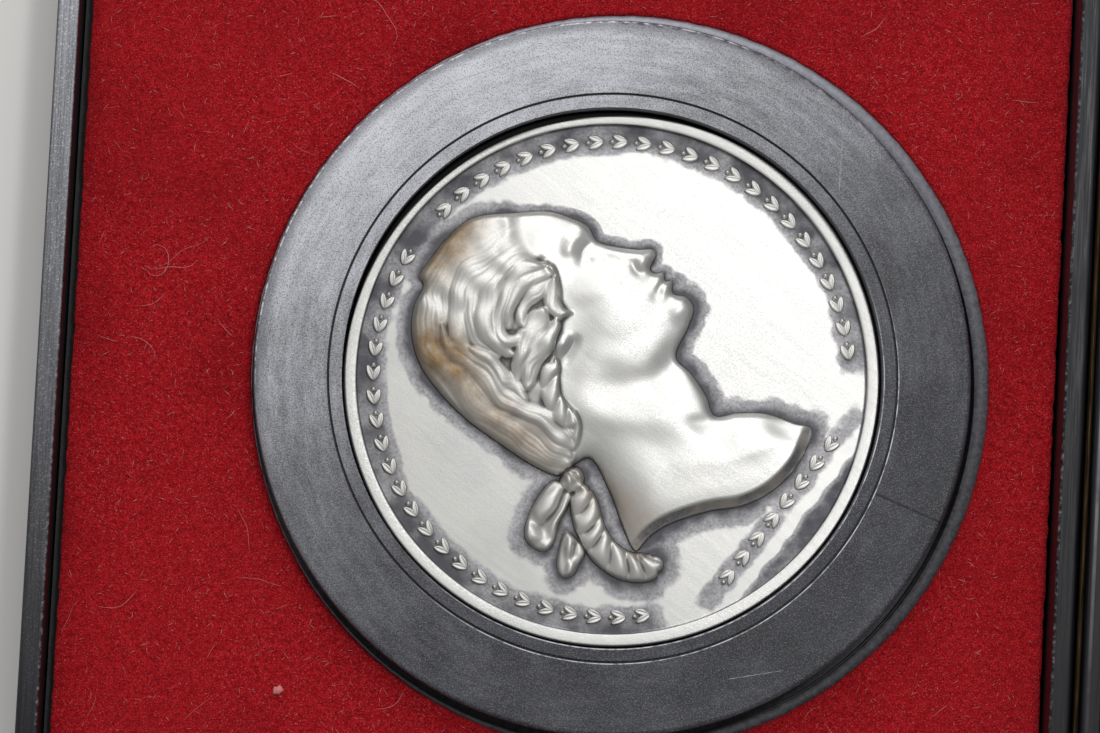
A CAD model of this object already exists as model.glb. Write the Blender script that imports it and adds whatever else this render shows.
import math

import bmesh
import bpy
import numpy as np
from mathutils import Euler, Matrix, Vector

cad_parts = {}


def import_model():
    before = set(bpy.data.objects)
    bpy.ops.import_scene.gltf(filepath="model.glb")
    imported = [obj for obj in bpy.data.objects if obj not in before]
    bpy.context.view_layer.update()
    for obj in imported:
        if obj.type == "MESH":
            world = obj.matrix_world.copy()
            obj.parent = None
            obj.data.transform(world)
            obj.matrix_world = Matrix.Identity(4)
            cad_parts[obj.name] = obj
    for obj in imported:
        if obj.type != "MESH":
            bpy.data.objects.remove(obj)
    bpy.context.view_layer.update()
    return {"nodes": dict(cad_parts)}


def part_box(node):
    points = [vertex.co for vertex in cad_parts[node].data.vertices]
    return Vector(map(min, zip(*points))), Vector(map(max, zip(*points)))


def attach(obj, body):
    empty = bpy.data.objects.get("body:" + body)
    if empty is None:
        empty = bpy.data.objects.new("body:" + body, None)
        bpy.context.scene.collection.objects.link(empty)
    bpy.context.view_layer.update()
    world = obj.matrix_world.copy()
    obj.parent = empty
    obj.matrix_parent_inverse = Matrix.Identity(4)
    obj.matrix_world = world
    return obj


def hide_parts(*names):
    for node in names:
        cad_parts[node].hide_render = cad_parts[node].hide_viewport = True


# Looks of the commemorative medal in its hinged display case.
# Lengths in the tables below are in millimetres, everything in Blender is in metres.
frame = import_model()

MM = 0.001
RANDOM_SEED = 7

# Camera that matches the photograph's view
CAMERA_PLACE = (-9.96, -22.24, 375.76)
CAMERA_TURN = (3.503, -1.601, 3.035)
CAMERA_LENS = 170.3
CLIP_START = 0.01

# Lights: place, size, power in watts; all of them point at the medal
LIGHTS = {
    "window": ((-60, 330, 330), 300, 0.9),
    "glow": ((88, 84, 455), 50, 0.4),
}
LIGHT_TARGET = (4, 0, 6)
WORLD_LIGHT = 0.4
FLOOR_REACH = 3000

# Velvet panel: its mesh, its hole, and how its edges are ragged
VELVET_COLUMNS = 720
VELVET_ROWS = 40
VELVET_WAVES = 0.035
PANEL_CORNER = 1.2
HOLE_CENTRE = (4.26, 0.07)
HOLE_RADIUS = 26.33
HOLE_RAGGED = 0.06
HOLE_WAVES = (9, 17, 31, 47, 83, 121, 170)
SIDE_RAGGED = 0.05
SIDE_WAVES = (11, 23, 51, 97, 150)
# Rolled edge, from below: inset in shares of the roll, rise in shares of the thickness
EDGE_ROLL = 0.5
ROLL_SECTION = [(0, 0), (-0.1, 0.3), (-0.14, 0.7), (0, 0.92), (0.3, 1)]

# Lint on the velvet: number, typical length, steps that each bends in
LINT = {"threads": (90, 1.9, 8), "crumbs": (2600, 0.26, 2)}
LINT_RADIUS = 0.014
LINT_START = 0.8
LINT_MARGIN = 0.4
# Pale fleck: its place, and from below the height and the radius of its rings
FLECK = (-18.88, -23.07)
FLECK_SIDES = 10
FLECK_SECTION = [(-0.05, 0.24), (0.1, 0.33), (0.24, 0.24), (0.3, 0.08)]

# Lip of the insert round its well, and how far it lies under the velvet's top
INSERT_LIP_CENTRE = (3.78, 0)
INSERT_LIP_RADIUS = 25.76
INSERT_LIP_DROP = 0.3
INSERT_LIP_GAP = 0.02

# Headings in which the plastic gets dustier and the silver brighter
DUST_HEADING = (-0.57, 0.82)
BRIGHT_HEADING = (0.8, 0.6)

# Ring, measured from its middle: wall of its pocket, groove, shaded flange, worn edge
POCKET_RADIUS = 19.18
HAIRLINE_RADIUS = 20.06
RING_SHADE = (24.3, 25.25)
RING_WORN = (25.24, 25.32)
# Fine lines on the ring: start, end, width
RING_CRACK = ((18.9, -7.2), (25.2, -9.6), 0.12)
RING_SCRATCHES = [
    ((5.9, 23.6), (6.6, 20.9), 0.07),
    ((15.4, 20.2), (15.35, 14.4), 0.06),
    ((-21.9, 12.7), (-21.2, 12.4), 0.12),
    ((-12, 20.5), (-8.5, 21.8), 0.04),
    ((9.5, -20.8), (12.8, -20.1), 0.04),
]

# Inner edge of the case's long walls, and the rubbed line on the lid beside the hinge
RIM_EDGE = 35.46
LID_RUB = (38.08, 38.2)

# Height of the wall that closes a relief piece under the field
WALL_UNDER = 0.06

# Medal: field, rim and edge
MEDAL_CENTRE = (3.58, 0.24)
MEDAL_RADIUS = 19.05
FIELD_TOP = 6.35
FIELD_RADIUS = 18.15
FIELD_CELLS = 250
FIELD_DISH = 0.06
FIELD_WAVES = 0.006
RIM_WOBBLE = 0.02
RIM_PROFILE = [
    (18.15, 6.5), (18.15, 6.98), (18.17, 7.03), (18.21, 7.055), (18.27, 7.065), (18.4, 7.075),
    (18.55, 7.085), (18.64, 7.09), (18.72, 7.094), (18.8, 7.097), (18.88, 7.1), (18.93, 7.098),
    (18.97, 7.085), (19.01, 7.055), (19.04, 7), (19.05, 6.92), (19.05, 4.3), (18.98, 4.06),
    (18.8, 3.95), (17, 3.95),
]
# Dirt on the rim beside the pocket wall: heading in degrees, shift of its circle and radius
RIM_DIRT = (120, 0.98, 19.54)

# Ornament round the field
BAND_MIDDLE = 16.95
SPRIG_PITCH = 1.72
SPRIG_RISE = 0.34
SPRIG_SINK = 0.1
LEAF_LENGTH = 1.2
LEAF_WIDTH = 0.6
LEAF_SPREAD = 22
PELLET_RADIUS = 0.2
PELLET_SIDES = 14
PELLET_TILTS = (-0.5, 0, 0.45, 0.9, 1.3)
BRANCH_START = 42
EXERGUE_LIFT = 1.8
EXERGUE_REACH = 8.4

# Bust, drawn upright in shares of the free field, forward and up, then turned on the medal
BUST_TURN = 55
SHARE = 1.012
BUST_STEP = 0.068
BUST_SPANS = ((-14, 9.8), (-15, 16.2))
BUST_SINK = 0.14
OUTLINE_RISE = 0.34
ROUNDING_RISE = 0.66
ROUNDING_REACH = 4.2
BEVEL_FOOT = 0.24
BEVEL_WIDTH = 0.8
TONING_REACH = 1.4

FACE = [
    (5.3, 12.35), (6.6, 10.8), (7.25, 9.2), (7.5, 7.9), (7.08, 6.75), (7.6, 5.5),
    (8.35, 4.25), (9, 3.4), (8.85, 2.9), (7.85, 2.62), (7.82, 2.2), (8.2, 1.72),
    (7.84, 1.3), (8.1, 0.85), (7.5, 0.3), (7.85, -0.6), (7.5, -1.55), (6.2, -2.05),
]
NECK_FRONT = [
    (4.1, -2.6), (3.8, -4.2), (3.2, -6), (2.5, -7.3), (3.6, -8.4), (4.8, -10),
    (5.5, -12), (5.9, -13.4),
]
TRUNCATION = [
    (5.9, -13.4), (3.4, -14.05), (0.8, -13.8), (-1.4, -12.75), (-3.2, -11.1), (-5.4, -9.6),
    (-7, -9), (-8.4, -8.9),
]
NAPE = [(-8.5, -8.4), (-7.7, -6.9), (-6.3, -4.6), (-5.4, -2.2)]
BACK = [
    (-7.4, -1.5), (-7.9, -0.9), (-8.3, 0.8), (-8.5, 3.4), (-8.6, 6.2), (-8.3, 8.8), (-7.6, 11.2),
    (-6.3, 13), (-4.7, 14.1), (-3.1, 14.5), (-2.6, 15.2), (-1, 15.3), (0.6, 15.3), (3, 14.7),
]
BUST = FACE + NECK_FRONT + TRUNCATION[1:] + NAPE + BACK
HAIR = [
    (5.5, 12.4), (4.9, 11.5), (4.3, 10.6), (3.8, 9.6), (3.6, 8.4), (2.9, 6.6), (2.2, 5.6),
    (2.05, 4.6), (1.5, 5), (1.1, 5.2), (0.4, 4.85), (-0.9, 4.5), (-1.5, 3.5), (-2.6, 2.8),
    (-3.3, 1.6), (-3.5, 0.2), (-3.9, -0.7), (-5, -1.5), (-7.6, -1.9), (-9.3, 0.8), (-9.6, 6.2),
    (-9.2, 9.8), (-7.4, 13.4), (-4.6, 16.1), (0.6, 16.6), (3.6, 15.9), (6, 13.6),
]

# Rounded masses: forward, up, half length, half width, turn in degrees, rise
SWELLS = {
    "skull": (-1.2, 9, 8.6, 7, 10, 0.24),
    "forehead": (5.4, 10.2, 2.8, 2.4, 60, 0.05),
    "temple": (4.9, 8.9, 2.2, 1.5, 60, -0.08),
    "eye_hollow": (6.05, 6.6, 1.8, 1.25, -14, -0.27),
    "eyeball": (6.1, 6.28, 0.95, 0.72, -6, 0.22),
    "nose_side": (7.6, 4.7, 2.6, 0.9, -60, 0.14),
    "nose_wing": (7.78, 3.28, 0.85, 0.7, 15, 0.18),
    "nostril": (8.3, 2.86, 0.4, 0.2, 18, -0.16),
    "cheekbone": (4.4, 5, 3.2, 1.8, -25, 0.13),
    "cheek": (3.4, 2.4, 4.2, 3.6, 20, 0.18),
    "upper_lip": (7.55, 1.66, 1.1, 0.46, -14, 0.11),
    "lower_lip": (7.5, 0.9, 1, 0.5, 10, 0.12),
    "lip_corner": (6.5, 1.15, 0.7, 0.6, 0, -0.07),
    "under_lip": (7.2, 0.3, 1.3, 0.5, 0, -0.06),
    "chin": (6.9, -0.75, 1.6, 1.25, 20, 0.17),
    "earlobe": (-0.25, 4.25, 1.15, 0.62, -6, 0.3),
    "throat": (3.2, -2.6, 3.2, 1.7, 12, -0.08),
    "neck_hollow": (1.35, -6.9, 1.7, 0.9, -60, -0.1),
    "neck_back": (-4.8, -5.4, 5.4, 3.4, 62, 0.08),
    "shoulder": (-1.6, -9, 8, 4, -28, 0.15),
    "breast": (3.2, -10.4, 4.4, 2.8, -55, 0.1),
    "collar_hollow": (4.6, -11.6, 1.9, 0.9, -70, -0.12),
}

# Ridges and grooves: points, half width, rise
FOLDS = {
    "brow": ([(7.35, 7.7), (6.6, 8.1), (5.6, 8.15), (4.5, 7.6)], 0.7, 0.14),
    "upper_lid": ([(6.85, 6.3), (6.5, 6.72), (5.95, 6.84), (5.35, 6.55), (4.9, 6.1)], 0.24, 0.12),
    "lid_crease": ([(6.95, 6.8), (6.4, 7.2), (5.7, 7.15), (5, 6.65)], 0.24, -0.06),
    "lower_lid": ([(6.6, 5.75), (6, 5.7), (5.4, 5.85), (4.95, 6.08)], 0.22, 0.08),
    "wing_groove": ([(7.7, 4.05), (7.2, 3.75), (7, 3.15), (7.35, 2.72)], 0.32, -0.11),
    "mouth": ([(8, 1.3), (7.4, 1.32), (6.9, 1.24), (6.5, 1.12)], 0.17, -0.15),
    "jaw": ([(-0.2, 4), (0.2, 1.6), (1.6, -0.2), (3.5, -1), (6.2, -1.5)], 2.2, 0.1),
    "under_jaw": ([(-2, 1.8), (0, -1.6), (2.4, -3), (5.4, -3.2)], 2.6, -0.16),
    "neck_muscle": ([(-2.6, 3.2), (-1.6, -0.5), (0, -3.8), (1.2, -6.6), (2.2, -9)], 2.9, 0.13),
    "windpipe": ([(3.4, -2.6), (2.9, -5), (2.2, -7.6)], 1.3, 0.06),
    "ear_shadow": ([(1.1, 3.85), (-0.3, 3.55), (-1.6, 3.5)], 0.55, -0.16),
    "temple_gap": ([(3.6, 9.5), (3.25, 8.6), (3.1, 7.6)], 0.4, -0.24),
}

# Locks of hair: points from root to tip, half width, rise
LOCKS = {
    "crown": ([(5.5, 12.2), (4.6, 13.5), (2.6, 14.6), (0.2, 14.95), (-2.6, 14.7)], 0.6, 0.12),
    "top_front": ([(5.3, 11.5), (4.3, 12.8), (2.4, 13.8), (0, 14.15), (-2.8, 13.9), (-4.6, 12.8)], 0.7, 0.2),
    "top_middle": ([
        (4.9, 10.9), (3.8, 12.1), (2, 13), (-0.2, 13.3), (-2.7, 12.9), (-4.3, 11.8),
    ], 0.6, 0.15),
    "top_wave": ([
        (4.5, 10.4), (3.4, 11.4), (1.6, 12.2), (-0.5, 12.4), (-2.6, 11.8), (-3.9, 10.6), (-4.6, 9),
    ], 0.62, 0.3),
    "side_wave": ([
        (4.1, 9.9), (3, 10.7), (1.3, 11.4), (-0.6, 11.5), (-2.3, 10.8), (-3.3, 9.4), (-3.9, 7.4),
    ], 0.5, 0.22),
    "low_wave": ([
        (3.7, 9.5), (2.4, 10.1), (1, 10.6), (-0.6, 10.6), (-1.9, 9.9), (-2.9, 8.5), (-3.3, 6.6),
    ], 0.6, 0.42),
    "back_outer": ([
        (-2.9, 14.9), (-4.9, 13.9), (-6.7, 12.2), (-7.7, 9.9), (-8.1, 7.2), (-8.1, 4.2), (-7.8, 1.2),
        (-7.4, -1.2),
    ], 0.6, 0.12),
    "back_second": ([
        (-3.3, 14), (-5.1, 12.9), (-6.5, 11), (-7.1, 8.6), (-7.4, 6), (-7.4, 3.4), (-7, 0.8),
        (-6.6, -1.4),
    ], 0.6, 0.24),
    "back_third": ([
        (-4.1, 12.9), (-5.4, 11.5), (-6.2, 9.6), (-6.5, 7.4), (-6.6, 5), (-6.5, 2.6), (-5.9, -1),
    ], 0.5, 0.16),
    "back_fourth": ([
        (-4.6, 11.8), (-5.3, 10.2), (-5.7, 8.3), (-5.8, 6.3), (-5.9, 4.3), (-5.7, 2.2), (-5.2, -1),
    ], 0.42, 0.32),
    "back_fifth": ([
        (-4.8, 10.2), (-5, 8.6), (-5.1, 6.9), (-5.3, 5.3), (-5.2, 3.4), (-4.9, 1.6), (-4.7, -0.8),
    ], 0.38, 0.22),
    "back_inner": ([(-4.3, 8.9), (-4.5, 7.4), (-4.7, 6), (-4.4, 4.8), (-4.7, 3.7)], 0.42, 0.32),
    "curl_over": ([
        (3.4, 9), (2.2, 9.5), (0.6, 9.6), (-0.9, 9.3), (-2.1, 8.5), (-2.5, 7.4), (-2, 6.6), (-1, 6.6),
    ], 0.56, 0.5),
    "curl_under": ([(3.3, 8.3), (2, 8.7), (0.5, 8.8), (-0.7, 8.5), (-1.4, 7.9)], 0.5, 0.44),
    "curl_inner": ([(2.6, 7.7), (1.6, 7.95), (0.6, 7.9), (-0.3, 7.5), (-0.8, 7.1)], 0.38, 0.3),
    "temple_lock": ([(3.6, 8.4), (3.1, 7.4), (2.5, 6.7)], 0.36, 0.24),
    "side_lock": ([(2.7, 7.6), (1.9, 7), (1.6, 6), (2, 4.8)], 0.54, 0.42),
    "roll_upper": ([(0.9, 6.9), (-0.3, 6.4), (-1.8, 6.1), (-3.2, 5.7), (-4.2, 5)], 0.56, 0.5),
    "roll_lower": ([(0.9, 5.8), (-0.4, 5.45), (-1.9, 5.25), (-3.2, 4.8), (-3.9, 4.1)], 0.5, 0.52),
    "tuft": ([(-3.6, 0.3), (-4, -0.5), (-4.9, -1)], 0.42, 0.28),
}
STRAND_GAP = 0.31
STRAND_RISE = 0.04

# Twisted strands: points, half width, rise, turns, height of what they lie on
TWISTS = {
    "side_twist": ([(-1.7, 3.9), (-2.7, 3.5), (-3.6, 2.6), (-4.1, 1.5), (-4.2, 0.3)], 0.82, 0.5, 3.2, 0.68),
    "queue": ([
        (-7.6, -3.2), (-8.5, -4.3), (-9.4, -5.6), (-9.9, -7.1), (-9.8, -8.7), (-9.1, -9.9), (-8.4, -10.4),
    ], 1.1, 0.68, 6.6, 0),
}
BOW = {
    "knot": [
        (-6.3, -2), (-6.6, -1.5), (-7.4, -1.3), (-8.2, -1.6), (-8.4, -2.3), (-8.1, -2.9),
        (-7.2, -3.1), (-6.5, -2.7),
    ],
    "upper_loop": [
        (-8, -1.2), (-9.6, -0.95), (-11.4, -1.3), (-12.6, -2), (-12.8, -3.1), (-12.4, -3.9),
        (-11.4, -3.9), (-10.3, -3.4), (-9, -3.2), (-8, -2.8),
    ],
    "lower_loop": [
        (-10.4, -4), (-11.6, -4.3), (-12.8, -5), (-13.2, -5.8), (-12.6, -6.4), (-11.6, -6.3),
        (-10.7, -6.1), (-10.3, -5.1),
    ],
}
# Lumps and folds of the crumpled ribbon, as in the tables above
BOW_LUMPS = [
    (-9.8, -1.75, 2.3, 0.85, 6, 0.36),
    (-10.1, -3, 1.9, 0.7, 12, 0.3),
    (-12, -2.4, 1.1, 1, 60, 0.3),
    (-11.9, -3.6, 0.9, 0.6, 10, 0.2),
    (-11.2, -4.9, 1.7, 0.7, 24, 0.32),
    (-12.4, -5.9, 1, 0.7, 30, 0.26),
    (-7.7, -2, 0.9, 0.6, 50, 0.3),
    (-6.9, -2.5, 0.7, 0.5, 20, 0.25),
]
BOW_FOLDS = [
    ([(-7.9, -2.2), (-9.4, -2.3), (-10.8, -2.6), (-11.6, -3.2)], 0.45, -0.16),
    ([(-10.9, -1.1), (-11.2, -1.9), (-11, -2.8)], 0.5, -0.14),
    ([(-10.3, -5.2), (-11.5, -5.5), (-12.4, -5.4)], 0.4, -0.14),
    ([(-7.3, -1.3), (-7.2, -2.2), (-7.6, -3.1)], 0.3, -0.14),
]
# Brown film over the crown and the back of the hair, as the rounded masses above
FILM = [
    (-6, 10.5, 3.4, 5.5, 0, 0.9),
    (0.5, 15.2, 6.5, 3.4, 0, 0.75),
    (-7.2, 3.6, 2.8, 8, 0, 0.5),
    (-6.6, -6, 2.6, 6, 0, 0.35),
]

rng = np.random.default_rng(RANDOM_SEED)


class Value:
    """What a node gives, with short ways to use it further."""

    def __init__(self, graph, socket):
        self.graph = graph
        self.socket = socket

    def __add__(self, other):
        return self.math("ADD", other)

    def __sub__(self, other):
        return self.math("SUBTRACT", other)

    def __mul__(self, other):
        return self.math("MULTIPLY", other)

    def __pow__(self, other):
        return self.math("POWER", other)

    def math(self, operation, *others):
        return self.graph.add("ShaderNodeMath", (self, *others), operation=operation)

    def parts(self):
        """The three parts of a vector."""
        node = self.graph.add("ShaderNodeSeparateXYZ", [self]).socket.node
        return [Value(self.graph, socket) for socket in node.outputs]

    def ramp(self, start, end, low=0.0, high=1.0, smooth=True):
        kind = "SMOOTHSTEP" if smooth else "LINEAR"
        values = (self, start, end, low, high)
        return self.graph.add("ShaderNodeMapRange", values, interpolation_type=kind)

    def band(self, low, high, edge):
        """One between low and high, fading over the edge."""
        return self.ramp(low - edge, low) * self.ramp(high, high + edge, 1, 0)

    def mix(self, first, second):
        """Colour this share of the way between two others, on the node's colour sockets."""
        return self.graph.add("ShaderNodeMix", {0: self, 6: first, 7: second}, 2, data_type="RGBA")

    def bump(self, depth, below=None):
        """Bump of this depth in millimetres, over an earlier one."""
        inputs = {"Distance": depth * MM, "Height": self}
        if below is not None:
            inputs["Normal"] = below
        return self.graph.add("ShaderNodeBump", inputs)


class Graph:
    """Node tree of one material."""

    def __init__(self, name):
        self.material = bpy.data.materials.new(name)
        self.material.use_nodes = True
        self.tree = self.material.node_tree
        self.place = self.add("ShaderNodeTexCoord", (), "Object")

    def add(self, kind, inputs, output=0, **settings):
        """New node with these inputs and settings; gives one of its outputs."""
        node = self.tree.nodes.new(kind)
        for key, setting in settings.items():
            setattr(node, key, setting)
        for key, value in inputs.items() if isinstance(inputs, dict) else enumerate(inputs):
            self.feed(node.inputs[key], value)
        return Value(self, node.outputs[output])

    def feed(self, socket, value):
        """Links a value to the socket, or sets a plain number, vector or colour."""
        if isinstance(value, Value):
            self.tree.links.new(value.socket, socket)
        elif socket.type == "RGBA":
            socket.default_value = (*value, 1)
        else:
            socket.default_value = value

    def finish(self, **values):
        """Feeds the shader's sockets, named with _ for a space, and gives the material."""
        sockets = self.tree.nodes["Principled BSDF"].inputs
        for name, value in values.items():
            self.feed(sockets[name.replace("_", " ")], value)
        return self.material

    def stretch(self, scale=(1, 1, 1), turn=0.0):
        """Object place in millimetres, stretched along the axes and turned about Z."""
        inputs = {"Vector": self.place, "Rotation": (0, 0, math.radians(turn))}
        inputs["Scale"] = [MM * share for share in scale]
        return self.add("ShaderNodeMapping", inputs, vector_type="TEXTURE")

    def noise(self, size, detail=3.0, roughness=0.6, vector=None):
        """Noise with features of about this size in millimetres."""
        inputs = {"Scale": 1 / size, "Detail": detail, "Roughness": roughness}
        inputs["Vector"] = vector or self.stretch()
        return self.add("ShaderNodeTexNoise", inputs, "Fac")

    def attribute(self, name):
        return self.add("ShaderNodeAttribute", (), "Fac", attribute_name=name)

    def axes(self):
        """Place along X, Y and Z in millimetres."""
        return self.stretch().parts()

    def level_faces(self):
        """One on faces that look up, fading to nothing on the sides."""
        return self.add("ShaderNodeTexCoord", (), "Normal").parts()[2].ramp(0.45, 0.9)

    def polar(self, centre):
        """Place across and upward from a centre, and the distance from it, in millimetres."""
        across, upward, _ = self.axes()
        across, upward = across - centre[0], upward - centre[1]
        return across, upward, (across * across + upward * upward).math("SQRT")

    def around(self, centre, turning, reaching):
        """Vector that winds round a centre, for streaks: scale round it and scale outwards."""
        across, upward, radius = self.polar(centre)
        turn = upward.math("ARCTAN2", across)
        return self.add("ShaderNodeCombineXYZ", [turn * turning, radius * reaching])

    def scratch(self, across, upward, start, end, width):
        """Thin broken line between two points."""
        length = math.dist(start, end)
        ahead = [(last - first) / length for first, last in zip(start, end)]
        x, y = across - start[0], upward - start[1]
        aside = (x * ahead[1] - y * ahead[0]).math("ABSOLUTE")
        line = aside.ramp(0.3 * width, width, 1, 0) * along(x, y, ahead).band(0, length, 0.4)
        return line * self.noise(0.6).ramp(0.35, 0.6, 0.2, 0.9)


def along(across, upward, heading):
    """How far a place lies along a heading."""
    return across * heading[0] + upward * heading[1]


def new_object(name, data):
    """Object that puts a mesh, lamp or camera in the scene."""
    thing = bpy.data.objects.new(name, data)
    bpy.context.scene.collection.objects.link(thing)
    return thing


def make_piece(name, corners, faces, body, material):
    """New mesh piece from corners in millimetres, riding on a body."""
    mesh = bpy.data.meshes.new(name)
    mesh.from_pydata(np.asarray(corners) * MM, [], faces)
    mesh.polygons.foreach_set("use_smooth", [True] * len(mesh.polygons))
    mesh.materials.append(material)
    close_openings(mesh)
    mesh.validate()
    piece = new_object(name, mesh)
    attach(piece, body)
    return piece


def close_openings(mesh):
    """Closes an open underside with a short wall and a flat face."""
    work = bmesh.new()
    work.from_mesh(mesh)
    edges = [edge for edge in work.edges if edge.is_boundary]
    wall = bmesh.ops.extrude_edge_only(work, edges=edges)["geom"]
    for part in wall:
        if isinstance(part, bmesh.types.BMVert):
            part.co.z -= WALL_UNDER * MM
    edges = [edge for edge in work.edges if edge.is_boundary]
    bmesh.ops.holes_fill(work, edges=edges, sides=0)
    work.to_mesh(mesh)
    work.free()


def box_mm(node):
    """Lowest and highest corner of a CAD node in millimetres."""
    return [np.array(corner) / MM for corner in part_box(node)]


def repaint(node, material):
    """Gives a CAD node its finished material."""
    for slot in frame["nodes"][node].material_slots:
        slot.material = material


# Grids and rings of corners


def quads(number):
    """Faces between the neighbours in a grid of corner numbers."""
    corners = [number[:-1, :-1], number[:-1, 1:], number[1:, 1:], number[1:, :-1]]
    return np.stack(corners, -1).reshape(-1, 4)


def closed_band(rows, columns):
    """Faces of rows of corners that close both ways, as a tyre's do."""
    number = np.arange(rows * columns).reshape(rows, columns)
    return quads(np.pad(number, ((0, 1), (0, 1)), mode="wrap").T).tolist()


def headings(count):
    """Evenly spaced angles round a full turn."""
    return np.linspace(0, 2 * np.pi, count, endpoint=False)


def circle(centre, radius, turns, height):
    """Ring of corners round a centre."""
    across, upward = centre[0] + radius * np.cos(turns), centre[1] + radius * np.sin(turns)
    return np.column_stack([across, upward, height + 0 * turns])


def add_grid(corners, places):
    """Adds a grid of places to the corners and gives their numbers."""
    start = sum(len(part) for part in corners)
    corners.append(np.reshape(places, (-1, 3)))
    return start + np.arange(len(corners[-1])).reshape(len(places), -1)


def add_rings(corners, faces, rings, foot=True):
    """Adds rings of corners and their faces, closed at the end and perhaps at the foot."""
    number = add_grid(corners, rings)
    faces += quads(np.hstack([number, number[:, :1]])).tolist()
    if foot:
        faces.append(number[0, ::-1].tolist())
    faces.append(number[-1].tolist())


# Materials


def ring_material():
    """Matte black plastic with a speckled grain, dull with dust towards the opening side."""
    graph = Graph("ring plastic")
    grain = graph.noise(0.13, 2, 0.7)
    speck = graph.noise(0.09, 2, 0.6)
    cloud = graph.noise(5, 5, 0.65)
    wiped = graph.noise(1.0, 4, 0.7, graph.around(MEDAL_CENTRE, 7, 1.6))
    black = cloud.ramp(0.3, 0.7).mix((0.012, 0.0125, 0.018), (0.036, 0.037, 0.05))
    across, upward, radius = graph.polar(MEDAL_CENTRE)
    lean = along(across, upward, DUST_HEADING)
    dust = lean.ramp(-24, 25, smooth=False) ** 3
    for patch, spread in ((cloud, 0.09), (wiped, 0.13)):
        patchy = patch.ramp(0.3, 0.7, -spread, spread)
        dust = dust + patchy * dust.ramp(0, 0.5, 0.2, 1)
    dust = dust * graph.level_faces().ramp(0, 1, 0.3, 1)
    dusty = dust.ramp(0, 1, smooth=False).mix(black, (0.72, 0.725, 0.78))
    sparkle = speck.ramp(0.5, 0.66) * dust.ramp(0, 1, 0.14, 0.8)
    dusty = sparkle.mix(dusty, (0.68, 0.69, 0.73))
    dusty = speck.ramp(0.34, 0.48, 0.6, 0).mix(dusty, (0.02, 0.021, 0.024))
    shaded = radius.ramp(*RING_SHADE, 0, 0.65) * lean.ramp(4, 16)
    dusty = shaded.mix(dusty, (0.07, 0.07, 0.09))
    worn = radius.band(*RING_WORN, 0.04) * lean.ramp(8, 20)
    worn = worn * graph.noise(0.5, 4, 0.7).ramp(0.44, 0.62, 0.05, 0.9)
    dusty = worn.mix(dusty, (0.9, 0.9, 0.93))
    for start, end, width in RING_SCRATCHES:
        dusty = graph.scratch(across, upward, start, end, width).mix(dusty, (0.34, 0.35, 0.38))
    crack = graph.scratch(across, upward, *RING_CRACK).ramp(0.05, 0.4)
    dusty = crack.mix(dusty, (0.002, 0.002, 0.002))
    for inner in (HAIRLINE_RADIUS + 0.18, POCKET_RADIUS + 0.03):
        edge = radius.band(inner, inner + 0.04, 0.03) * lean.ramp(-2, -14)
        edge = edge * graph.noise(0.7, 3).ramp(0.35, 0.6, 0.2, 0.9)
        dusty = edge.mix(dusty, (0.75, 0.76, 0.8))
    groove = radius.band(HAIRLINE_RADIUS, HAIRLINE_RADIUS + 0.15, 0.03)
    return graph.finish(
        Base_Color=groove.mix(dusty, (0.002, 0.002, 0.002)),
        Roughness=grain.ramp(0.3, 0.7, 0.38, 0.6),
        Normal=grain.bump(0.035),
    )


def insert_material():
    """Dark grey plastic, dusty as the ring, with marks that run outwards from the well."""
    graph = Graph("insert plastic")
    marks = graph.noise(1.0, 4, 0.75, graph.around(MEDAL_CENTRE, 60, 2.2))
    grain = graph.noise(0.2, 4, 0.7) * marks.ramp(0.35, 0.65, 0.5, 1.4)
    grey = grain.mix((0.018, 0.018, 0.022), (0.13, 0.13, 0.15))
    across, upward, radius = graph.polar(MEDAL_CENTRE)
    dust = along(across, upward, DUST_HEADING).ramp(-25, 30, smooth=False) ** 2
    grey = (dust * marks.ramp(0.3, 0.7, 0.8, 1.2)).mix(grey, (0.66, 0.67, 0.76))
    return graph.finish(
        Base_Color=radius.ramp(27.5, 30).mix(grey, (0.006, 0.006, 0.007)),
        Roughness=0.55,
        Normal=grain.bump(0.02),
    )


def case_material():
    """Satin black plastic, scuffed along its walls, dusty at the opening side, worn at the rim."""
    graph = Graph("case plastic")
    streak = graph.noise(1.0, 4, 0.7, graph.stretch((0.12, 6.0, 0.12)))
    speck = graph.noise(0.12, 2, 0.6)
    across, upward, height = graph.axes()
    scuffed = streak.ramp(0.35, 0.68) * upward.ramp(-32, 34, 0, 1.2)
    black = scuffed.mix((0.004, 0.004, 0.006), (0.02, 0.0215, 0.027))
    fading = upward.ramp(-34, 30, smooth=False) ** 1.8
    dust = across.ramp(-30, -36) * fading * height.ramp(9.2, 9.7, 0.05, 1)
    dust = dust * graph.level_faces() * streak.ramp(0.3, 0.7, 0.55, 1.1)
    dusty = dust.mix(black, (0.42, 0.425, 0.46))
    dusty = (speck.ramp(0.54, 0.68) * dust).mix(dusty, (0.7, 0.7, 0.75))
    edge = across.math("ABSOLUTE").band(RIM_EDGE - 0.02, RIM_EDGE + 0.16, 0.04)
    edge = edge * height.ramp(9.75, 9.85)
    edge = edge * graph.noise(0.5, 5, 0.75).ramp(0.45, 0.7, 0, 0.4)
    rub = across.band(*LID_RUB, 0.1) * upward.ramp(-32, 12)
    rub = rub * graph.noise(2.6, 3, 0.6).ramp(0.3, 0.6, 0.2, 0.5)
    rub = rub * height.ramp(9.3, 9.8)
    return graph.finish(
        Base_Color=edge.math("MAXIMUM", rub).mix(dusty, (0.5, 0.5, 0.54)),
        Roughness=streak.ramp(0.35, 0.65, 0.3, 0.55),
        Normal=streak.bump(0.01),
        Specular_IOR_Level=0.3,
    )


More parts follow.
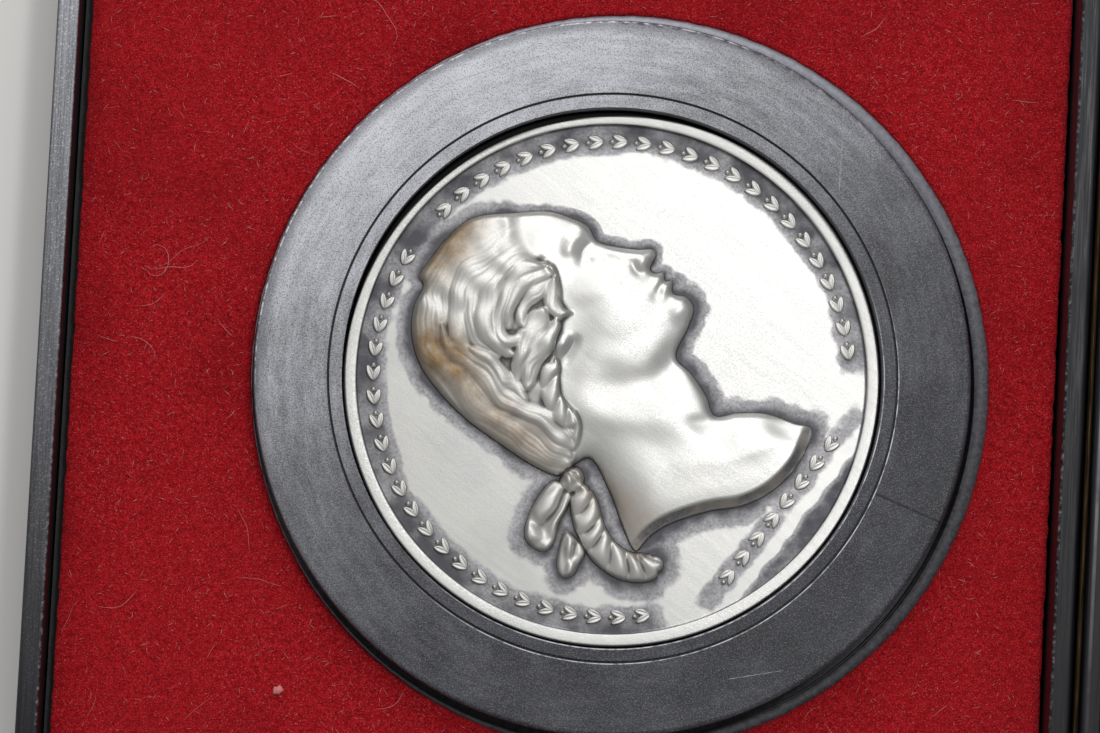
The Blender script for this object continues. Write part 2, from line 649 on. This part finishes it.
def brass_material():
    """Drawn brass wire, browned with age."""
    graph = Graph("hinge brass")
    streak = graph.noise(1.0, 3, 0.6, graph.stretch((0.05, 3.0, 0.05)))
    rubbed = streak.ramp(0.3, 0.7)
    return graph.finish(
        Base_Color=rubbed.mix((0.005, 0.004, 0.003), (0.06, 0.038, 0.018)),
        Metallic=1.0,
        Roughness=streak.ramp(0.3, 0.7, 0.55, 0.38),
    )


def velvet_material():
    """Short red pile: mottled nap, with a sheen where it is seen edge on."""
    graph = Graph("red velvet")
    pile = graph.noise(0.13, 2, 0.7)
    clump = graph.noise(0.42, 4, 0.75)
    lit = clump.ramp(0.35, 0.65)
    dark = lit.mix((0.21, 0.001, 0.005), (0.31, 0.002, 0.007))
    light = lit.mix((0.48, 0.006, 0.012), (0.68, 0.02, 0.026))
    shade = pile.ramp(0.32, 0.7).mix(dark, light)
    shade = graph.noise(0.1, 1).ramp(0.63, 0.71, 0, 0.6).mix(shade, (0.75, 0.16, 0.17))
    brushed = graph.noise(9, 4, 0.6).ramp(0.45, 0.75, 0, 0.28)
    return graph.finish(
        Base_Color=brushed.mix(shade, (0.13, 0.001, 0.004)),
        Roughness=0.9,
        Normal=pile.bump(0.14, clump.bump(0.25)),
        Sheen_Weight=0.22,
        Sheen_Roughness=0.4,
        Sheen_Tint=(1.0, 0.3, 0.35),
        Specular_IOR_Level=0.1,
    )


def lint_material():
    """Pale lint threads caught in the pile."""
    graph = Graph("lint")
    return graph.finish(
        Base_Color=graph.noise(0.8).mix((0.55, 0.06, 0.07), (0.8, 0.36, 0.35)),
        Roughness=0.7,
    )


def silver_material():
    """Antique silver: satin metal, grey in the hollows and round the relief, with a brown film."""
    graph = Graph("antique silver")
    cloud = graph.noise(6, 4, 0.6)
    streak = graph.noise(1.0, 4, 0.65, graph.stretch((0.7, 5.0, 1.0), BUST_TURN))
    blotch = graph.noise(0.9, 3, 0.55)
    grain = graph.noise(0.1, 3, 0.6)
    across, upward, _ = graph.axes()
    lean = along(across, upward, BRIGHT_HEADING)
    bright = lean.ramp(-14, 14).mix((0.44, 0.44, 0.425), (0.68, 0.675, 0.655))
    bright = cloud.ramp(0.35, 0.65, 0, 0.3).mix(bright, (0.64, 0.62, 0.58))
    bright = streak.ramp(0.35, 0.75, 0, 0.28).mix(bright, (0.45, 0.47, 0.475))
    satin = graph.attribute("satin")
    bright = (satin * 0.5).mix(bright, (0.75, 0.735, 0.7))
    film = graph.attribute("tarnish") * blotch.ramp(0.2, 0.75, 0.6, 1.15)
    bright = film.mix(bright, (0.32, 0.205, 0.09))
    hollow = graph.attribute("hollow").ramp(0.02, 0.14, 0, 0.82)
    uneven = blotch.ramp(0.25, 0.75, -0.17, 0.17, False)
    uneven = uneven + graph.noise(2.6, 2, 0.5).ramp(0.3, 0.7, -0.25, 0.2, False)
    toned = graph.attribute("toning")
    toned = toned + uneven * toned.ramp(0, 0.25)
    toned = toned.ramp(0.08, 1, smooth=False)
    mottle = (blotch + graph.noise(0.22, 3, 0.7)) * 0.5
    grey = mottle.ramp(0.29, 0.71).mix((0.17, 0.167, 0.178), (0.42, 0.412, 0.425))
    metal = toned.ramp(0, 0.3).mix(bright, grey)
    metal = toned.ramp(0.5, 1).mix(metal, (0.11, 0.108, 0.12))
    metal = hollow.mix(metal, (0.06, 0.058, 0.062))
    dirt = graph.attribute("dirt")
    dull = hollow.math("MAXIMUM", toned).math("MAXIMUM", film * 1.6) + dirt
    rough = grain.ramp(0.3, 0.7, 0.37, 0.48) + dull.ramp(0, 1, 0, 0.16)
    return graph.finish(
        Base_Color=dirt.mix(metal, (0.014, 0.013, 0.013)),
        Metallic=1.0,
        Roughness=rough + satin * 0.1,
        Normal=grain.bump(0.007, streak.bump(0.008)),
    )


# Velvet panel, lint and the insert's lip


def panel_edge(turns, middle, half):
    """Distance from the hole's centre to the panel's rounded outline at each angle."""
    ahead = np.stack([np.cos(turns), np.sin(turns)], 1)
    offset = HOLE_CENTRE - middle
    with np.errstate(divide="ignore"):
        reach = np.min((np.where(ahead < 0, -1, 1) * half - offset) / ahead, axis=1)
    spot = offset + reach[:, None] * ahead
    straight = half - PANEL_CORNER
    away = offset - np.sign(spot) * straight
    before = np.sum(away * ahead, axis=1)
    rest = np.maximum(before**2 - np.sum(away**2, axis=1) + PANEL_CORNER**2, 0)
    in_corner = np.all(np.abs(spot) > straight, axis=1)
    return np.where(in_corner, np.sqrt(rest) - before, reach)


def wander(turns, amount, waves):
    """Irregular closed wave of about this amount."""
    total = 0
    for wave in waves:
        total += rng.normal() * np.cos(wave * turns + rng.uniform(0, 2 * np.pi))
    return amount * total / len(waves) ** 0.5


def velvet_panel():
    """Velvet-covered card with a round hole, rolled edges and a slightly uneven top."""
    low, high = box_mm("velvet_panel")
    middle, half = (low + high)[:2] / 2, (high - low)[:2] / 2
    turns = headings(VELVET_COLUMNS)
    inner = HOLE_RADIUS + wander(turns, HOLE_RAGGED, HOLE_WAVES)
    outer = panel_edge(turns, middle, half) - np.abs(wander(turns, SIDE_RAGGED, SIDE_WAVES))
    rings = [(inner + inset * EDGE_ROLL, rise) for inset, rise in ROLL_SECTION]
    start, end = rings[-1][0], outer - EDGE_ROLL
    for row in range(1, VELVET_ROWS):
        rings.append((start + (end - start) * row / VELVET_ROWS, 1.0))
    for inset, rise in reversed(ROLL_SECTION):
        rings.append((outer - max(inset, 0) * EDGE_ROLL, rise))
    corners = []
    for reach, rise in rings:
        ring = circle(HOLE_CENTRE, reach, turns, low[2] + rise * (high[2] - low[2]))
        x, y = ring.T[:2]
        waves = np.sin(x / 5.1 + 1) * np.cos(y / 6.3) + 0.5 * np.sin(x / 2.2 + y / 2.9)
        ring[:, 2] -= (rise == 1) * VELVET_WAVES * (1 + waves)
        corners.append(ring)
    faces = closed_band(len(rings), VELVET_COLUMNS)
    piece = make_piece("velvet", np.concatenate(corners), faces, "case", velvet_material())
    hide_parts("velvet_panel")


def insert_lip():
    """Lip of the insert round its well, a grey band just under the velvet."""
    top = box_mm("velvet_panel")[1][2] - INSERT_LIP_DROP
    low = box_mm("insert_tray")[1][2] - WALL_UNDER
    turns = headings(VELVET_COLUMNS)
    apart = np.array(HOLE_CENTRE) - INSERT_LIP_CENTRE
    shift = along(np.cos(turns), np.sin(turns), apart)
    outer = shift + np.sqrt(HOLE_RADIUS**2 - apart @ apart + shift**2) - INSERT_LIP_GAP
    inner = INSERT_LIP_RADIUS
    section = ((inner, low), (inner, top - 0.03), (inner + 0.02, top), (outer, top), (outer, low))
    rings = [circle(INSERT_LIP_CENTRE, radius, turns, height) for radius, height in section]
    faces = closed_band(len(rings), VELVET_COLUMNS)
    make_piece("insert_lip", np.concatenate(rings), faces, "case", insert)


def threads():
    """Fine lint threads and short crumbs of lint on the velvet, and one pale fleck."""
    low, high = box_mm("velvet_panel")
    corners, faces = [], []
    for total, typical, steps in LINT.values():
        count = 0
        while count < total:
            start = rng.uniform(low[:2] + LINT_START, high[:2] - LINT_START)
            length = typical * min(rng.gamma(2.0, 0.5), 2.5)
            line = thread_line(start, length, steps)
            clear = np.hypot(*(line - HOLE_CENTRE).T) > HOLE_RADIUS + LINT_MARGIN
            inside = (line > low[:2] + LINT_MARGIN) & (line < high[:2] - LINT_MARGIN)
            if not (np.all(inside) and np.all(clear)):
                continue
            arch = np.sin(np.linspace(0, np.pi, len(line)))
            lift = high[2] + 0.02 + 0.12 * rng.random() * arch
            tube(corners, faces, np.column_stack([line, lift]), LINT_RADIUS * rng.uniform(0.8, 1.7))
            count += 1
    fleck(corners, faces, high[2])
    make_piece("velvet_lint", np.concatenate(corners), faces, "case", lint_material())


def thread_line(start, length, steps):
    """Slightly bent line of this length from a start, in a random heading."""
    heading, bend = rng.uniform(0, 2 * np.pi), rng.normal(0, 0.4, 2)
    line = [start]
    for step in range(steps):
        heading += (bend[0] + bend[1] * math.sin(1.1 * step)) * length / steps
        line.append(line[-1] + np.array([math.cos(heading), math.sin(heading)]) * length / steps)
    return np.array(line)


def tube(corners, faces, line, radius):
    """Three-sided thread along a line, pointed at both ends."""
    aside = np.cross(np.gradient(line, axis=0), (0, 0, 1))
    aside /= np.linalg.norm(aside, axis=1)[:, None]
    taper = radius * np.sqrt(np.sin(np.linspace(0.05, 0.95, len(line)) * np.pi))[:, None]
    sides = []
    for turn in (0.5, 2.6, 4.7):
        sides.append(line + taper * (math.cos(turn) * aside + np.array([0, 0, math.sin(turn)])))
    add_rings(corners, faces, np.stack(sides, 1))


def fleck(corners, faces, height):
    """Small pale crumb lying on the velvet."""
    turns = headings(FLECK_SIDES)
    rings = []
    for level, radius in FLECK_SECTION:
        rough = radius * (1 + 0.25 * np.sin(2 * turns + 1) + 0.12 * np.cos(5 * turns))
        across, upward = FLECK[0] + rough * np.cos(turns), FLECK[1] + 1.2 * rough * np.sin(turns)
        rings.append(np.column_stack([across, upward, height + level + 0 * turns]))
    add_rings(corners, faces, rings)


# Medal relief


def smooth_curve(points, closed=False, steps=7):
    """Places on a smooth curve through the points, closed or open."""
    p = np.asarray(points, float)
    if closed:
        p = np.vstack([p[-1:], p, p[:2]])
    else:
        p = np.vstack([2 * p[0] - p[1], p, 2 * p[-1] - p[-2]])
    t = np.linspace(0, 1, steps, endpoint=False)[:, None]
    spans = []
    for a, b, c, d in zip(p, p[1:], p[2:], p[3:]):
        bend = (c - a) * t + (2 * a - 5 * b + 4 * c - d) * t**2 + (3 * b - a - 3 * c + d) * t**3
        spans.append(b + 0.5 * bend)
    if not closed:
        spans.append(p[-2:-1])
    return np.concatenate(spans)


def depth_inside(x, y, points):
    """Distance to the smooth loop through the points, positive inside it."""
    loop = smooth_curve(points, True)
    near = np.full(x.shape, np.inf)
    within = np.zeros(x.shape, bool)
    for (ax, ay), (bx, by) in zip(loop, np.roll(loop, -1, axis=0)):
        dx, dy = bx - ax, by - ay
        t = np.clip(((x - ax) * dx + (y - ay) * dy) / (dx * dx + dy * dy), 0, 1)
        near = np.minimum(near, (x - ax - t * dx) ** 2 + (y - ay - t * dy) ** 2)
        if dy != 0:
            within ^= ((ay > y) != (by > y)) & (x < dx * (y - ay) / dy + ax)
    return np.where(within, 1, -1) * np.sqrt(near)


def follow(x, y, points):
    """Share of the way along the smooth path, and the signed offset from it."""
    path = smooth_curve(points)
    legs = np.diff(path, axis=0)
    lengths = np.hypot(legs[:, 0], legs[:, 1])
    run = np.concatenate([[0], np.cumsum(lengths)])
    near = np.full(x.shape, np.inf)
    where = side = np.zeros(x.shape)
    for (px, py), (dx, dy), length, start in zip(path, legs / lengths[:, None], lengths, run):
        t = np.clip((x - px) * dx + (y - py) * dy, 0, length)
        ox, oy = x - px - t * dx, y - py - t * dy
        gap = ox * ox + oy * oy
        closer = gap < near
        near = np.where(closer, gap, near)
        where = np.where(closer, (start + t) / run[-1], where)
        side = np.where(closer, np.where(dx * oy < dy * ox, -1, 1), side)
    return where, np.sqrt(near) * side


def beside(x, y, points):
    """Distance from the smooth path."""
    return np.abs(follow(x, y, points)[1])


def ease(t):
    t = np.clip(t, 0, 1)
    return t**3 * (10 - 15 * t + 6 * t * t)


def dome(t):
    return np.sqrt(1 - (1 - np.clip(t, 0, 1)) ** 2)


def turned(x, y, turn):
    """Place turned about the origin by this many degrees."""
    cosine, sine = math.cos(math.radians(turn)), math.sin(math.radians(turn))
    return x * cosine - y * sine, x * sine + y * cosine


def swell(x, y, row):
    """Smooth oval mound or hollow."""
    forward, up, half_length, half_width, turn, rise = row
    ahead, aside = turned(x - forward, y - up, -turn)
    return rise * ease(1 - np.hypot(ahead / half_length, aside / half_width))


def fold(x, y, row):
    """Smooth ridge or groove that fades out at both ends."""
    points, half_width, rise = row
    where, offset = follow(x, y, points)
    ends = ease(where / 0.3) * ease((1 - where) / 0.3)
    return rise * ease(1 - np.abs(offset) / half_width) * ends


def relief(x, y, swells, folds=()):
    return sum(swell(x, y, row) for row in swells) + sum(fold(x, y, row) for row in folds)


def twist_depth(x, y, row):
    """Place along a twisted strand and across it, and the depth inside its outline."""
    points, half_width = row[:2]
    where, offset = follow(x, y, points)
    wide = half_width * (0.6 + 0.4 * dome(np.minimum(where / 0.2, (1 - where) / 0.12)))
    return where, offset / wide, wide - np.abs(offset)


def silhouette(x, y):
    """Distance to the outline of all the bust, its bow and its queue, positive inside."""
    depths = [depth_inside(x, y, loop) for loop in (BUST, *BOW.values())]
    return np.maximum.reduce([*depths, twist_depth(x, y, TWISTS["queue"])[2]])


def bare_bust(x, y, body):
    """Head, neck and breast without their hair."""
    height = OUTLINE_RISE * ease(body / 0.3) + ROUNDING_RISE * dome(body / ROUNDING_REACH)
    sides = np.minimum(beside(x, y, FACE + NECK_FRONT), beside(x, y, NAPE))
    flat = OUTLINE_RISE + ROUNDING_RISE * dome(np.maximum(sides, body) / ROUNDING_REACH)
    near_cut = ease((4.0 - beside(x, y, TRUNCATION)) / 3.0)
    height += np.where(body > 0, flat - height, 0) * near_cut
    return height + ease(body / 0.6) * relief(x, y, SWELLS.values(), FOLDS.values())


def bevelled(x, y, body, height):
    """The cut end of the neck drops to the field in a steep bevel."""
    share = np.clip(beside(x, y, TRUNCATION) / BEVEL_WIDTH, 0, 1)
    return np.where(body > 0, BEVEL_FOOT + (height - BEVEL_FOOT) * share, height)


def unruly(x, y):
    """Places shifted a little, so that hair and ribbon run unevenly."""
    across = 0.24 * np.sin(1.1 * y + 0.7 * x) + 0.05 * np.sin(2.7 * y - 1.9 * x + 1)
    upward = 0.24 * np.sin(1.0 * x - 1.2 * y + 2) + 0.05 * np.sin(2.5 * x + 2.3 * y)
    return x + across, y + upward


def hair(x, y, body):
    """Rise of the locks over the head."""
    x, y = unruly(x, y)
    rooting = 0.4 + 1.3 * ease((y - 8.0) / 2.5)
    cap = ease(depth_inside(x, y, HAIR) / rooting) * ease(body / 0.3)
    top, strand, strong = np.zeros((3, *x.shape))
    for index, (points, half_width, rise) in enumerate(LOCKS.values()):
        where, offset = follow(x, y, points)
        taper = 0.45 + 0.55 * dome(np.minimum(where / 0.25, (1 - where) / 0.3))
        swing = 0.09 * np.sin(9 * where + index) + 0.04 * np.sin(23 * where + 3 * index)
        lift = rise * dome(1 - np.abs(offset) / (1.22 * half_width * taper))
        lift *= 0.72 + 0.28 * ease((1 - where) / 0.2) + 0.14 * np.sin(7 * where + 1.7 * index)
        higher = lift > top
        strand = np.where(higher, offset / taper + swing + STRAND_GAP * index, strand)
        strong = np.where(higher, 0.15 + 0.85 * np.sin(4 * where + 2 * index) ** 2, strong)
        top = np.where(higher, lift, top)
    phase = np.pi * strand / STRAND_GAP
    ridges = np.abs(np.sin(phase)) + 0.6 * np.abs(np.sin(1.7 * phase))
    clumps = 0.09 * np.sin(1.9 * x + 1.3 * y) * np.sin(1.7 * y - 1.1 * x + 1)
    return cap * (0.1 + top + clumps + STRAND_RISE * strong * (ridges - 1) * (top > 0.03))


def twists_and_bow(x, y, height):
    """Twisted strands and the ribbon bow, laid over the height so far."""
    for row in TWISTS.values():
        where, across, depth = twist_depth(x, y, row)
        rise, turns, under = row[2:]
        uneven = 0.13 * np.sin(2.1 * where * turns + 1)
        ridge = np.abs(np.sin(np.pi * (where * turns + 0.4 * across + 0.3 * across**2 + uneven)))
        top = 0.34 * ease(depth / 0.25) + rise * dome(1 - np.abs(across)) * (0.42 + 0.58 * ridge**0.7)
        height = np.where(depth > 0, np.maximum(height, top + under), height)
    crumpled = relief(*unruly(x, y), BOW_LUMPS, BOW_FOLDS)
    for name, loop in BOW.items():
        depth = depth_inside(x, y, loop)
        top = 0.3 * ease(depth / 0.25) + 0.3 * dome(depth / 0.9) + crumpled * ease(depth / 0.3)
        top += 0.22 * ease(depth / 0.5) * (name == "knot")
        height = np.where(depth > 0, np.maximum(height, top), height)
    return height


def blur(grid, kept, reach):
    """Gaussian blur of the kept cells over this many cells."""
    offsets = np.arange(-3 * reach, 3 * reach + 1)
    weights = np.exp(-0.5 * (offsets / reach) ** 2)

    def spread(values):
        for axis in (0, 1):
            values = sum(w * np.roll(values, o, axis) for w, o in zip(weights, offsets))
        return values

    return spread(np.where(kept, grid, 0)) / np.maximum(spread(kept.astype(float)), 1e-9)


def to_medal(forward, up):
    """Upright place in shares turned into the case's frame in millimetres."""
    across, upward = turned(SHARE * forward, SHARE * up, BUST_TURN)
    return across + MEDAL_CENTRE[0], upward + MEDAL_CENTRE[1]


def from_medal(across, upward):
    """Place in the case's frame turned into upright shares."""
    x, y = across - MEDAL_CENTRE[0], upward - MEDAL_CENTRE[1]
    return turned(x / SHARE, y / SHARE, -BUST_TURN)


def medal_piece(name, corners, faces, **values):
    """Piece of the medal, with values at its corners for its material, nothing on the underside."""
    piece = make_piece(name, corners, faces, "case", silver)
    for key, numbers in values.items():
        layer = piece.data.attributes.new(key, "FLOAT", "POINT").data
        padded = np.pad(numbers, (0, len(layer) - len(numbers)))
        layer.foreach_set("value", padded.astype(np.float32))
    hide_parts("medal")


def bust():
    """Finely worked bust, closed underneath, sunk a little into the field."""
    grid_x, grid_y = np.meshgrid(*(np.arange(*span, BUST_STEP) for span in BUST_SPANS))
    outline = silhouette(grid_x, grid_y)
    kept = outline > -0.25
    x, y = grid_x[kept], grid_y[kept]
    body = depth_inside(x, y, BUST)
    height = np.zeros(kept.shape)
    height[kept] = bare_bust(x, y, body)
    height = blur(height, kept & (outline > 0), 2)
    height[kept] = bevelled(x, y, body, height[kept])
    height[kept] = twists_and_bow(x, y, height[kept] + hair(x, y, body))
    soft = 0.3 * height + 0.7 * blur(height, kept & (outline > 0), 1)
    height = np.where(outline > 0, soft, 0) * ease(outline / 0.12) - BUST_SINK * ease(-outline / 0.2)
    hollow = blur(height, kept, 4) - height
    number = np.full(kept.shape, -1)
    number[kept] = np.arange(kept.sum())
    faces = quads(number)
    used, faces = np.unique(faces[(faces >= 0).all(-1)], return_inverse=True)
    x, y, body = x[used], y[used], body[used]
    level = FIELD_TOP + height[kept][used]
    bevel = on_bevel(x, y)
    medal_piece(
        "medal_bust",
        np.stack([*to_medal(x, y), level], 1),
        faces.reshape(-1, 4).tolist(),
        hollow=hollow[kept][used],
        tarnish=relief(x, y, FILM) + 0.35 * bevel,
        toning=0.25 * bevel,
        satin=np.maximum(ease(depth_inside(x, y, HAIR) / 0.8), ease(-body / 0.3)),
    )


def medal_body():
    """Field, rim, edge and back of the medal as one closed mesh."""
    steps = np.linspace(-1, 1, FIELD_CELLS + 1)
    a, b = np.meshgrid(steps, steps)
    wide = np.abs(a) > np.abs(b)
    reach = np.where(wide, a, b)
    with np.errstate(divide="ignore", invalid="ignore"):
        turn = np.where(wide, math.pi / 4 * b / a, math.pi / 2 - math.pi / 4 * a / b)
    turn = np.nan_to_num(turn)
    across, upward = FIELD_RADIUS * reach * np.cos(turn), FIELD_RADIUS * reach * np.sin(turn)
    waves = np.sin(across / 2.9 + 0.7) * np.cos(upward / 3.7) + np.sin(across / 5.3 - upward / 4.1)
    level = FIELD_TOP + FIELD_DISH * reach**2 + FIELD_WAVES * waves
    number = np.arange(a.size).reshape(a.shape)
    border = np.concatenate([number[0, :-1], number[:-1, -1], number[-1, :0:-1], number[:0:-1, 0]])
    turns = np.arctan2(upward.ravel()[border], across.ravel()[border])
    corners = [np.stack([across, upward, level], -1).reshape(-1, 3)]
    for radius, height in RIM_PROFILE:
        wobble = RIM_WOBBLE * np.sin(7 * turns) * np.cos(3 * turns + 1) * (height > FIELD_TOP)
        corners.append(circle((0, 0), radius + wobble * (radius < MEDAL_RADIUS), turns, height))
    corners = np.concatenate(corners)
    corners[:, :2] += MEDAL_CENTRE
    rings = np.arange(a.size, len(corners)).reshape(-1, len(border))
    rings = np.vstack([border, rings])
    faces = quads(number).tolist() + quads(np.hstack([rings, rings[:, :1]])[::-1]).tolist()
    faces.append(rings[-1].tolist())
    toned = toning(*from_medal(corners[:, 0], corners[:, 1]))
    medal_piece("medal_body", corners, faces, toning=toned, dirt=rim_dirt(corners))


def rim_dirt(corners):
    """Dark crescent of dirt on the rim, widest at its heading."""
    heading, shift, radius = RIM_DIRT
    apart = corners[:, :2] - MEDAL_CENTRE + shift * np.array(turned(1, 0, heading))
    return ease((np.hypot(apart[:, 0], apart[:, 1]) - radius + 0.06) / 0.12)


def toning(x, y):
    """Dark toning on the field, close round the bust and between the leaves."""
    low_down, by_face = ease((-8.0 - y) / 3.0), ease((x - 4.0) / 3.0) * ease((y + 0.5) / 2.0)
    reach = TONING_REACH + 0.3 * low_down - 0.6 * by_face
    near = np.clip((reach + silhouette(x, y)) / reach, 0, 1)
    radius = np.hypot(x, y)
    clear = ease((np.degrees(np.arctan2(np.abs(x), -y)) - BRANCH_START + 6) / 9)
    band = ease((radius - BAND_MIDDLE / SHARE + 1.5) / 1.7) * clear
    from_row = np.abs(y + (BAND_MIDDLE - EXERGUE_LIFT) / SHARE)
    row = ease((1.3 - from_row) / 1.1) * ease((10.2 - np.abs(x)) / 2.4)
    crescent = ease((-16.3 - y + 0.12 * np.sin(1.9 * x) * np.sin(0.8 * x + 1)) / 0.8)
    foot = ease((radius - FIELD_RADIUS / SHARE + 0.16) / 0.14)
    toned = np.maximum.reduce([near, 0.8 * band, 0.52 * row, 0.85 * crescent, 0.55 * foot])
    return toned * (radius < FIELD_RADIUS / SHARE + 0.01)


def on_bevel(x, y):
    """One on the bevel under the bust, less along its lowest edge."""
    cut = beside(x, y, TRUNCATION)
    return ease((BEVEL_WIDTH + 0.04 - cut) / 0.25) * ease((cut - 0.1) / 0.2)


# Ornament round the field


def sprig_places():
    """Middle and heading of each sprig: two branches and a straight row under the bust."""
    places = []
    step = math.degrees(SPRIG_PITCH / BAND_MIDDLE)
    for side in (1, -1):
        for index in range(int((180 - BRANCH_START) / step)):
            turn = BRANCH_START + step * (index + 0.5)
            across, upward = turned(0, -BAND_MIDDLE, turn)
            places.append((side * across, upward, turn if side > 0 else 180 - turn))
        for index in range(int(EXERGUE_REACH * SHARE / SPRIG_PITCH)):
            across = side * SPRIG_PITCH * (index + 0.5)
            places.append((across, EXERGUE_LIFT - BAND_MIDDLE, 0 if side > 0 else 180))
    return places


def leaf(corners, faces, root, heading):
    """Lens-shaped leaf with a rounded back and a vein."""
    ahead, aside = np.meshgrid(np.linspace(0.02, 0.98, 11), np.linspace(-1, 1, 9), indexing="ij")
    belly = np.sin(np.pi * ahead)
    height = SPRIG_RISE * (1 - aside**6) ** 0.5 * (0.6 + 0.4 * belly**0.6)
    height -= 0.06 * np.exp(-((aside / 0.22) ** 2)) * belly
    height = np.where(np.abs(aside) == 1, -SPRIG_SINK, height)
    x, y = turned(ahead * LEAF_LENGTH, aside * LEAF_WIDTH / 2 * belly**0.7, heading)
    number = add_grid(corners, np.stack([root[0] + x, root[1] + y, height], -1))
    faces += quads(number.T).tolist()


def pellet(corners, faces, middle):
    """Round bead."""
    rings = []
    for tilt in PELLET_TILTS:
        height = SPRIG_RISE * (0.15 + 0.85 * math.sin(tilt))
        rings.append(circle(middle, PELLET_RADIUS * math.cos(tilt), headings(PELLET_SIDES), height))
    add_rings(corners, faces, rings, foot=False)


def wreath():
    """Leaf pairs with a pellet between their tips, sunk a little into the field."""
    corners, faces = [], []
    for x, y, heading in sprig_places():
        middle, ahead = np.array([x, y]), np.array(turned(1, 0, heading))
        root = middle - ahead * (SPRIG_PITCH / 2 - PELLET_RADIUS)
        for side in (1, -1):
            leaf(corners, faces, root, heading + side * LEAF_SPREAD)
        pellet(corners, faces, middle + ahead * (SPRIG_PITCH / 2 - 2 * PELLET_RADIUS))
    x, y, rise = np.concatenate(corners).T
    level = FIELD_TOP + FIELD_DISH * (np.hypot(x, y) / FIELD_RADIUS) ** 2 + rise
    places = np.stack([*to_medal(x / SHARE, y / SHARE), level], 1)
    medal_piece("medal_wreath", places, faces, hollow=0.08 * (rise < 0), satin=np.full(len(x), 0.8))


silver = silver_material()
repaint("bezel_ring", ring_material())
insert = insert_material()
repaint("insert_tray", insert)
plastic = case_material()
repaint("case_base", plastic)
repaint("lid", plastic)
repaint("hinge_pin", brass_material())
velvet_panel()
insert_lip()
threads()
medal_body()
bust()
wreath()


# Camera, lights and floor


def camera():
    lens = bpy.data.cameras.new("camera")
    lens.lens = CAMERA_LENS
    lens.clip_start = CLIP_START
    thing = new_object("camera", lens)
    thing.location = Vector(CAMERA_PLACE) * MM
    thing.rotation_euler = Euler([math.radians(turn) for turn in CAMERA_TURN])
    bpy.context.scene.camera = thing


def light(name, place, size, power):
    """Square lamp that points at the medal."""
    lamp = bpy.data.lights.new(name, "AREA")
    lamp.energy = power
    lamp.size = size * MM
    thing = new_object(name, lamp)
    thing.location = Vector(place) * MM
    heading = Vector(LIGHT_TARGET) * MM - thing.location
    thing.rotation_euler = heading.to_track_quat("-Z", "Y").to_euler()


def floor():
    """Pale table top under the case."""
    graph = Graph("floor")
    colour = graph.noise(30, 3).mix((0.72, 0.71, 0.69), (0.78, 0.77, 0.75))
    mesh = bpy.data.meshes.new("floor")
    reach = FLOOR_REACH * MM
    corners = [(-reach, -reach, 0), (reach, -reach, 0), (reach, reach, 0), (-reach, reach, 0)]
    mesh.from_pydata(corners, [], [(0, 1, 2, 3)])
    mesh.materials.append(graph.finish(Base_Color=colour, Roughness=0.7))
    thing = new_object("floor", mesh)


def world():
    surroundings = bpy.data.worlds.new("world")
    bpy.context.scene.world = surroundings
    surroundings.use_nodes = True
    inputs = surroundings.node_tree.nodes["Background"].inputs
    inputs["Color"].default_value = (1, 1, 1, 1)
    inputs["Strength"].default_value = WORLD_LIGHT


bpy.context.scene.view_settings.view_transform = "Standard"
camera()
for name, (place, size, power) in LIGHTS.items():
    light(name, place, size, power)
floor()
world()
